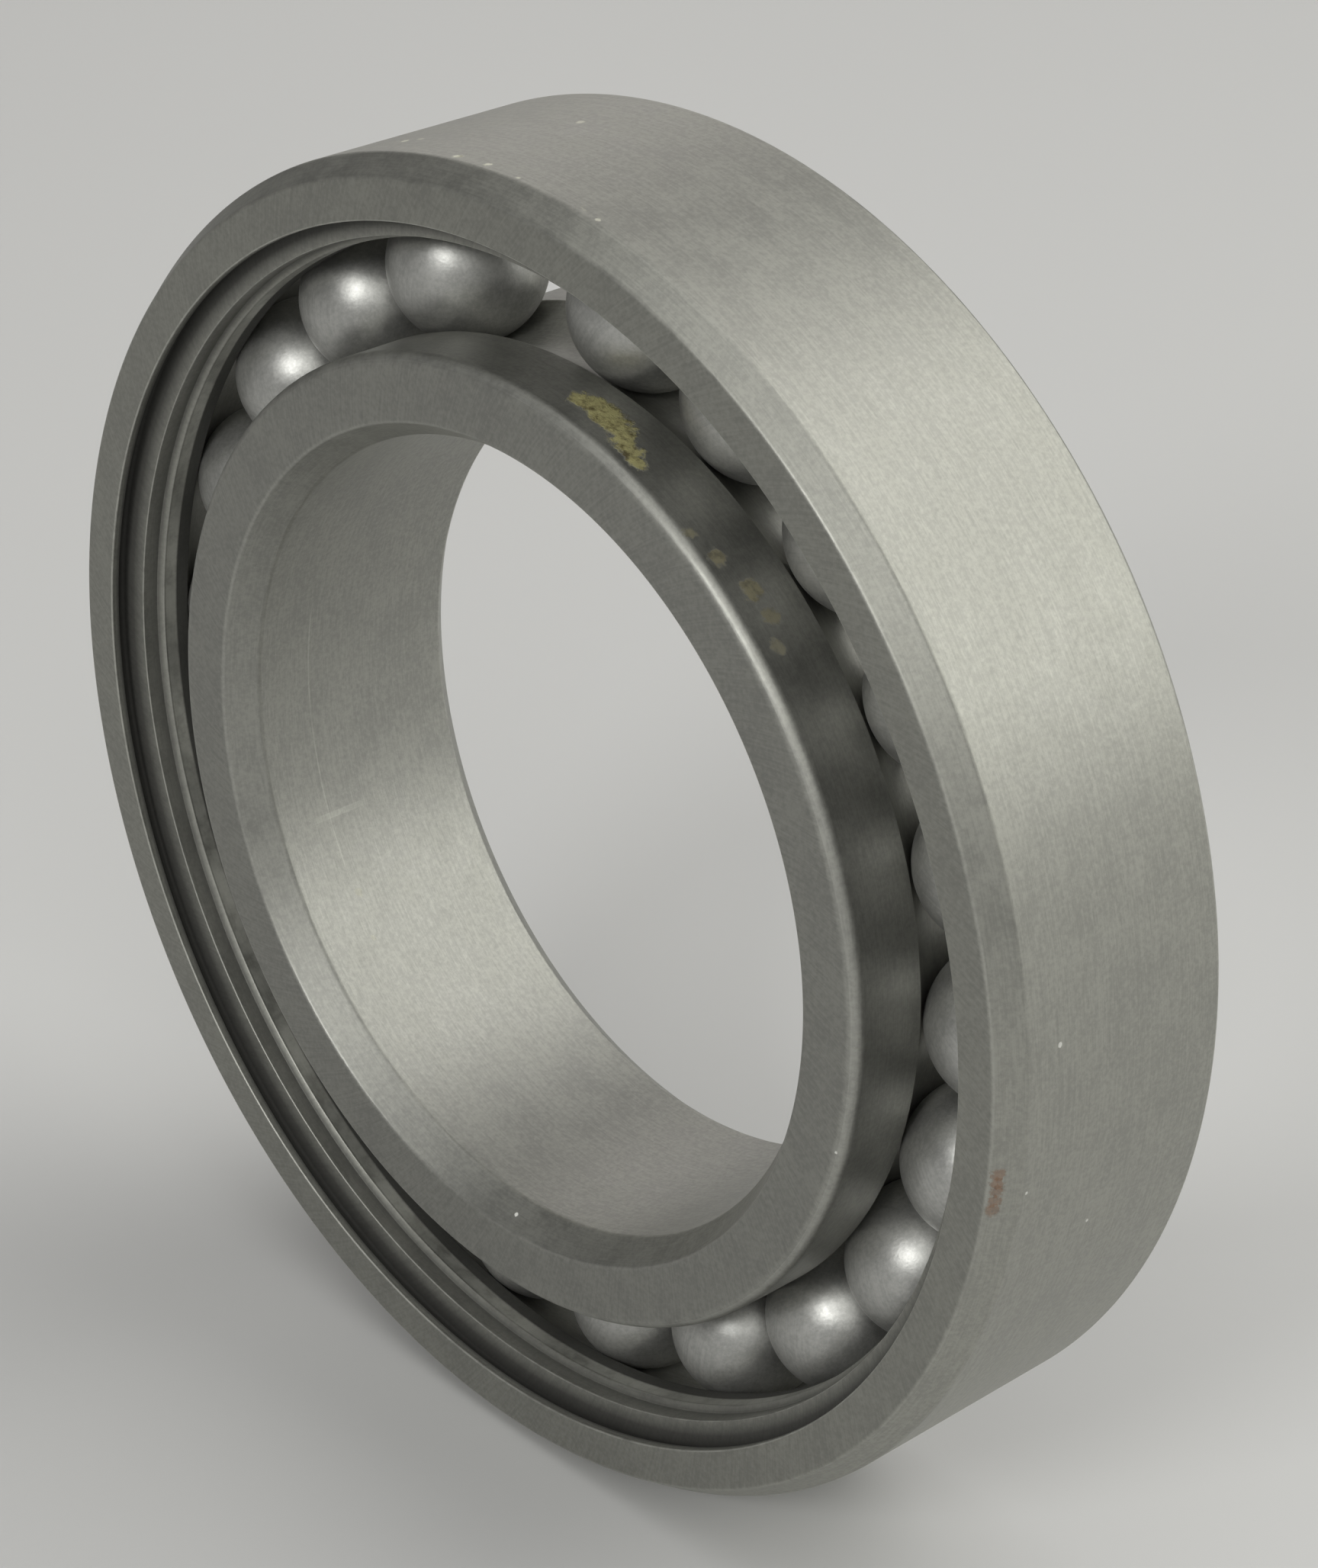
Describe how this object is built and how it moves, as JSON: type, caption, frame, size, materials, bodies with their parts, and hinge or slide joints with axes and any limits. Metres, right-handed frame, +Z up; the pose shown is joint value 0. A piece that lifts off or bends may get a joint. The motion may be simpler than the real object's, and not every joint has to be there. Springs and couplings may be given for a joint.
{
  "type": "angular contact ball bearing",
  "caption": "Open single-row angular contact ball bearing: outer ring with one relieved shoulder, inner ring, and a full row of 21 loose balls without a cage.",
  "frame": {"origin": "centre of the bearing, on its axis and midway between the faces", "axes": "+Y along the bearing axis from the front face (seal groove side) to the back face (relieved shoulder side); +Z up, with the bearing standing on its outside diameter; +X completes the right-handed frame"},
  "size_m": [0.075, 0.016, 0.075],
  "materials": {
    "outer_ring": "satin phosphated grey",
    "inner_ring": "satin phosphated dark grey",
    "balls": "dull polished steel"
  },
  "bodies": {
    "outer_ring": {"outer_ring": "outer_ring"},
    "inner_ring": {"inner_ring": "inner_ring"},
    "ball_01": {"ball_01": "balls"},
    "ball_02": {"ball_02": "balls"},
    "ball_03": {"ball_03": "balls"},
    "ball_04": {"ball_04": "balls"},
    "ball_05": {"ball_05": "balls"},
    "ball_06": {"ball_06": "balls"},
    "ball_07": {"ball_07": "balls"},
    "ball_08": {"ball_08": "balls"},
    "ball_09": {"ball_09": "balls"},
    "ball_10": {"ball_10": "balls"},
    "ball_11": {"ball_11": "balls"},
    "ball_12": {"ball_12": "balls"},
    "ball_13": {"ball_13": "balls"},
    "ball_14": {"ball_14": "balls"},
    "ball_15": {"ball_15": "balls"},
    "ball_16": {"ball_16": "balls"},
    "ball_17": {"ball_17": "balls"},
    "ball_18": {"ball_18": "balls"},
    "ball_19": {"ball_19": "balls"},
    "ball_20": {"ball_20": "balls"},
    "ball_21": {"ball_21": "balls"}
  },
  "joints": [
    {"name": "inner_ring_spin", "type": "hinge", "parent": "outer_ring", "child": "inner_ring", "pos_m": [0, 0, 0], "axis": [0, 1, 0], "continuous": true},
    {"name": "ball_01_orbit", "type": "hinge", "parent": "outer_ring", "child": "ball_01", "pos_m": [0, 0, 0], "axis": [0, 1, 0], "continuous": true},
    {"name": "ball_02_orbit", "type": "hinge", "parent": "outer_ring", "child": "ball_02", "pos_m": [0, 0, 0], "axis": [0, 1, 0], "continuous": true},
    {"name": "ball_03_orbit", "type": "hinge", "parent": "outer_ring", "child": "ball_03", "pos_m": [0, 0, 0], "axis": [0, 1, 0], "continuous": true},
    {"name": "ball_04_orbit", "type": "hinge", "parent": "outer_ring", "child": "ball_04", "pos_m": [0, 0, 0], "axis": [0, 1, 0], "continuous": true},
    {"name": "ball_05_orbit", "type": "hinge", "parent": "outer_ring", "child": "ball_05", "pos_m": [0, 0, 0], "axis": [0, 1, 0], "continuous": true},
    {"name": "ball_06_orbit", "type": "hinge", "parent": "outer_ring", "child": "ball_06", "pos_m": [0, 0, 0], "axis": [0, 1, 0], "continuous": true},
    {"name": "ball_07_orbit", "type": "hinge", "parent": "outer_ring", "child": "ball_07", "pos_m": [0, 0, 0], "axis": [0, 1, 0], "continuous": true},
    {"name": "ball_08_orbit", "type": "hinge", "parent": "outer_ring", "child": "ball_08", "pos_m": [0, 0, 0], "axis": [0, 1, 0], "continuous": true},
    {"name": "ball_09_orbit", "type": "hinge", "parent": "outer_ring", "child": "ball_09", "pos_m": [0, 0, 0], "axis": [0, 1, 0], "continuous": true},
    {"name": "ball_10_orbit", "type": "hinge", "parent": "outer_ring", "child": "ball_10", "pos_m": [0, 0, 0], "axis": [0, 1, 0], "continuous": true},
    {"name": "ball_11_orbit", "type": "hinge", "parent": "outer_ring", "child": "ball_11", "pos_m": [0, 0, 0], "axis": [0, 1, 0], "continuous": true},
    {"name": "ball_12_orbit", "type": "hinge", "parent": "outer_ring", "child": "ball_12", "pos_m": [0, 0, 0], "axis": [0, 1, 0], "continuous": true},
    {"name": "ball_13_orbit", "type": "hinge", "parent": "outer_ring", "child": "ball_13", "pos_m": [0, 0, 0], "axis": [0, 1, 0], "continuous": true},
    {"name": "ball_14_orbit", "type": "hinge", "parent": "outer_ring", "child": "ball_14", "pos_m": [0, 0, 0], "axis": [0, 1, 0], "continuous": true},
    {"name": "ball_15_orbit", "type": "hinge", "parent": "outer_ring", "child": "ball_15", "pos_m": [0, 0, 0], "axis": [0, 1, 0], "continuous": true},
    {"name": "ball_16_orbit", "type": "hinge", "parent": "outer_ring", "child": "ball_16", "pos_m": [0, 0, 0], "axis": [0, 1, 0], "continuous": true},
    {"name": "ball_17_orbit", "type": "hinge", "parent": "outer_ring", "child": "ball_17", "pos_m": [0, 0, 0], "axis": [0, 1, 0], "continuous": true},
    {"name": "ball_18_orbit", "type": "hinge", "parent": "outer_ring", "child": "ball_18", "pos_m": [0, 0, 0], "axis": [0, 1, 0], "continuous": true},
    {"name": "ball_19_orbit", "type": "hinge", "parent": "outer_ring", "child": "ball_19", "pos_m": [0, 0, 0], "axis": [0, 1, 0], "continuous": true},
    {"name": "ball_20_orbit", "type": "hinge", "parent": "outer_ring", "child": "ball_20", "pos_m": [0, 0, 0], "axis": [0, 1, 0], "continuous": true},
    {"name": "ball_21_orbit", "type": "hinge", "parent": "outer_ring", "child": "ball_21", "pos_m": [0, 0, 0], "axis": [0, 1, 0], "continuous": true}
  ],
  "couplings": [
    {"joint": "ball_01_orbit", "follows": "inner_ring_spin", "ratio": 0.43751},
    {"joint": "ball_02_orbit", "follows": "inner_ring_spin", "ratio": 0.43751},
    {"joint": "ball_03_orbit", "follows": "inner_ring_spin", "ratio": 0.43751},
    {"joint": "ball_04_orbit", "follows": "inner_ring_spin", "ratio": 0.43751},
    {"joint": "ball_05_orbit", "follows": "inner_ring_spin", "ratio": 0.43751},
    {"joint": "ball_06_orbit", "follows": "inner_ring_spin", "ratio": 0.43751},
    {"joint": "ball_07_orbit", "follows": "inner_ring_spin", "ratio": 0.43751},
    {"joint": "ball_08_orbit", "follows": "inner_ring_spin", "ratio": 0.43751},
    {"joint": "ball_09_orbit", "follows": "inner_ring_spin", "ratio": 0.43751},
    {"joint": "ball_10_orbit", "follows": "inner_ring_spin", "ratio": 0.43751},
    {"joint": "ball_11_orbit", "follows": "inner_ring_spin", "ratio": 0.43751},
    {"joint": "ball_12_orbit", "follows": "inner_ring_spin", "ratio": 0.43751},
    {"joint": "ball_13_orbit", "follows": "inner_ring_spin", "ratio": 0.43751},
    {"joint": "ball_14_orbit", "follows": "inner_ring_spin", "ratio": 0.43751},
    {"joint": "ball_15_orbit", "follows": "inner_ring_spin", "ratio": 0.43751},
    {"joint": "ball_16_orbit", "follows": "inner_ring_spin", "ratio": 0.43751},
    {"joint": "ball_17_orbit", "follows": "inner_ring_spin", "ratio": 0.43751},
    {"joint": "ball_18_orbit", "follows": "inner_ring_spin", "ratio": 0.43751},
    {"joint": "ball_19_orbit", "follows": "inner_ring_spin", "ratio": 0.43751},
    {"joint": "ball_20_orbit", "follows": "inner_ring_spin", "ratio": 0.43751},
    {"joint": "ball_21_orbit", "follows": "inner_ring_spin", "ratio": 0.43751}
  ]
}
